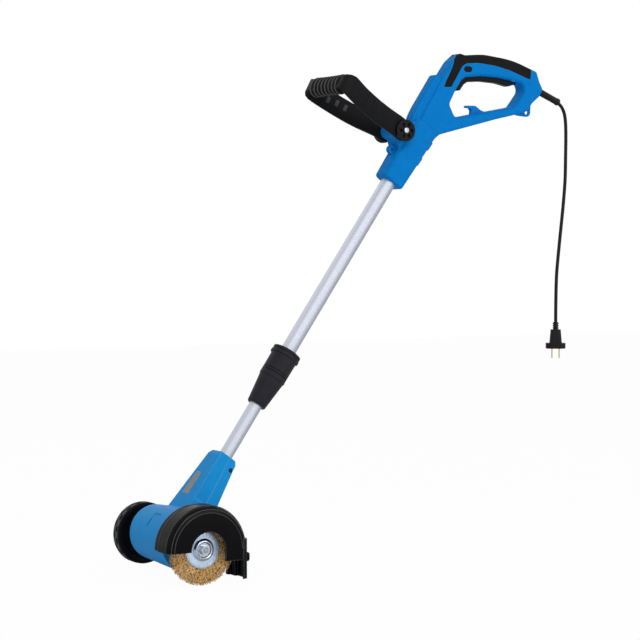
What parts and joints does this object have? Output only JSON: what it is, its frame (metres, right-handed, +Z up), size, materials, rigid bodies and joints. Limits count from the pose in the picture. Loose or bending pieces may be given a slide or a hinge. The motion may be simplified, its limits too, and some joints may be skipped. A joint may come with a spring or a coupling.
{
  "type": "electric joint brush",
  "caption": "Long-handled electric joint brush: D-grip with trigger, adjustable front loop handle, telescopic tube, motor head with guarded wire wheel and a guide wheel.",
  "frame": {"origin": "centre of the rear grip's bar, where the main hand holds the tool", "axes": "+X along the motor axis towards the wire wheel, +Y back towards the user, +Z up, in the pose of the picture with the tube leaning back"},
  "size_m": [0.2425, 0.8494, 0.8467],
  "materials": {
    "blue_plastic": "moulded blue plastic with a satin gloss",
    "black_plastic": "moulded black plastic, half gloss",
    "soft_black": "soft matt grip rubber",
    "cord_rubber": "black rubber sheath",
    "alu_tube": "satin anodised aluminium tube",
    "steel": "plain turned steel",
    "zinc_screw": "zinc plated screws",
    "brass_wire": "brass coated crimped steel wire",
    "tyre_rubber": "black tread rubber",
    "lamination": "stacked sheet iron",
    "copper": "copper segments",
    "carbon": "pressed carbon",
    "white_nylon": "natural nylon",
    "die_cast": "die cast gear cover",
    "plug_brass": "bright plug blades"
  },
  "bodies": {
    "handle": {"handle_shell_left": "blue_plastic", "handle_shell_right": "blue_plastic", "soft_grip": "soft_black", "switch_body": "black_plastic", "shell_screws": "zinc_screw", "strain_relief": "cord_rubber", "mains_cord": "cord_rubber", "plug_body": "cord_rubber", "plug_blades": "plug_brass", "upper_tube": "alu_tube", "clamp_body": "black_plastic", "clamp_collet": "white_nylon"},
    "trigger": {"trigger": "black_plastic"},
    "switch_plunger": {"switch_plunger": "white_nylon"},
    "lock_off_button": {"lock_off_button": "black_plastic"},
    "front_handle": {"aux_handle": "black_plastic", "aux_grip": "soft_black", "pivot_bolt": "zinc_screw", "pivot_caps": "black_plastic"},
    "twist_sleeve": {"twist_sleeve": "black_plastic"},
    "head": {"lower_tube": "alu_tube", "tube_guide": "white_nylon", "motor_housing_front": "blue_plastic", "motor_housing_rear": "blue_plastic", "neck_screws": "zinc_screw", "stator": "lamination", "brush_holders": "plug_brass", "carbon_brushes": "carbon", "bearing_rear": "steel", "bearing_front": "steel", "gear_plate": "die_cast", "ring_gear": "steel", "bearing_output": "steel", "gear_cover": "die_cast", "guard": "black_plastic", "guard_screws": "zinc_screw", "wheel_axle": "steel", "wheel_cap": "black_plastic"},
    "rotor": {"motor_shaft": "steel", "armature": "lamination", "commutator": "copper", "cooling_fan": "white_nylon", "sun_pinion": "steel"},
    "brush": {"output_spindle": "steel", "planet_carrier": "steel", "brush_plate_rear": "steel", "brush_plate_front": "steel", "brush_wires": "brass_wire", "clamp_flange": "steel", "spindle_nut": "steel"},
    "planet_a": {"planet_gear_a": "white_nylon"},
    "planet_b": {"planet_gear_b": "white_nylon"},
    "planet_c": {"planet_gear_c": "white_nylon"},
    "wheel": {"wheel_hub": "black_plastic", "tyre": "tyre_rubber"}
  },
  "joints": [
    {"name": "trigger_pull", "type": "hinge", "parent": "handle", "child": "trigger", "pos_m": [0, 0.043, -0.0175], "axis": [-1, 0, 0], "range_deg": [0, 4], "stiffness_Nm_per_rad": 1.2, "springref_deg": -3.44},
    {"name": "plunger_lift", "type": "slide", "parent": "handle", "child": "switch_plunger", "axis": [0, 0, 1], "range_m": [0, 0.0055]},
    {"name": "lock_off_press", "type": "slide", "parent": "handle", "child": "lock_off_button", "axis": [-1, 0, 0], "range_m": [0, 0.0028], "stiffness_N_per_m": 250, "springref_m": -0.002},
    {"name": "front_handle_tilt", "type": "hinge", "parent": "handle", "child": "front_handle", "pos_m": [0, -0.19662, -0.11462], "axis": [1, 0, 0], "range_deg": [-30, 40]},
    {"name": "sleeve_twist", "type": "hinge", "parent": "handle", "child": "twist_sleeve", "pos_m": [0, -0.44639, -0.53808], "axis": [0, 0.5764, 0.8171], "range_deg": [0, 90]},
    {"name": "tube_extend", "type": "slide", "parent": "handle", "child": "head", "axis": [0, -0.5764, -0.8171], "range_m": [-0.09, 0.13]},
    {"name": "rotor_spin", "type": "hinge", "parent": "head", "child": "rotor", "pos_m": [0, -0.6101, -0.77015], "axis": [1, 0, 0], "continuous": true},
    {"name": "brush_spin", "type": "hinge", "parent": "head", "child": "brush", "pos_m": [0, -0.6101, -0.77015], "axis": [1, 0, 0], "continuous": true},
    {"name": "planet_a_spin", "type": "hinge", "parent": "brush", "child": "planet_a", "pos_m": [0.028, -0.6101, -0.75215], "axis": [1, 0, 0], "continuous": true},
    {"name": "planet_b_spin", "type": "hinge", "parent": "brush", "child": "planet_b", "pos_m": [0.028, -0.62569, -0.77915], "axis": [1, 0, 0], "continuous": true},
    {"name": "planet_c_spin", "type": "hinge", "parent": "brush", "child": "planet_c", "pos_m": [0.028, -0.59451, -0.77915], "axis": [1, 0, 0], "continuous": true},
    {"name": "wheel_spin", "type": "hinge", "parent": "head", "child": "wheel", "pos_m": [-0.112, -0.6101, -0.77015], "axis": [1, 0, 0], "continuous": true}
  ],
  "couplings": [
    {"joint": "plunger_lift", "follows": "trigger_pull", "m_per_rad": 0.071},
    {"joint": "brush_spin", "follows": "rotor_spin", "ratio": 0.16667},
    {"joint": "planet_a_spin", "follows": "rotor_spin", "ratio": -0.41667},
    {"joint": "planet_b_spin", "follows": "rotor_spin", "ratio": -0.41667},
    {"joint": "planet_c_spin", "follows": "rotor_spin", "ratio": -0.41667}
  ]
}
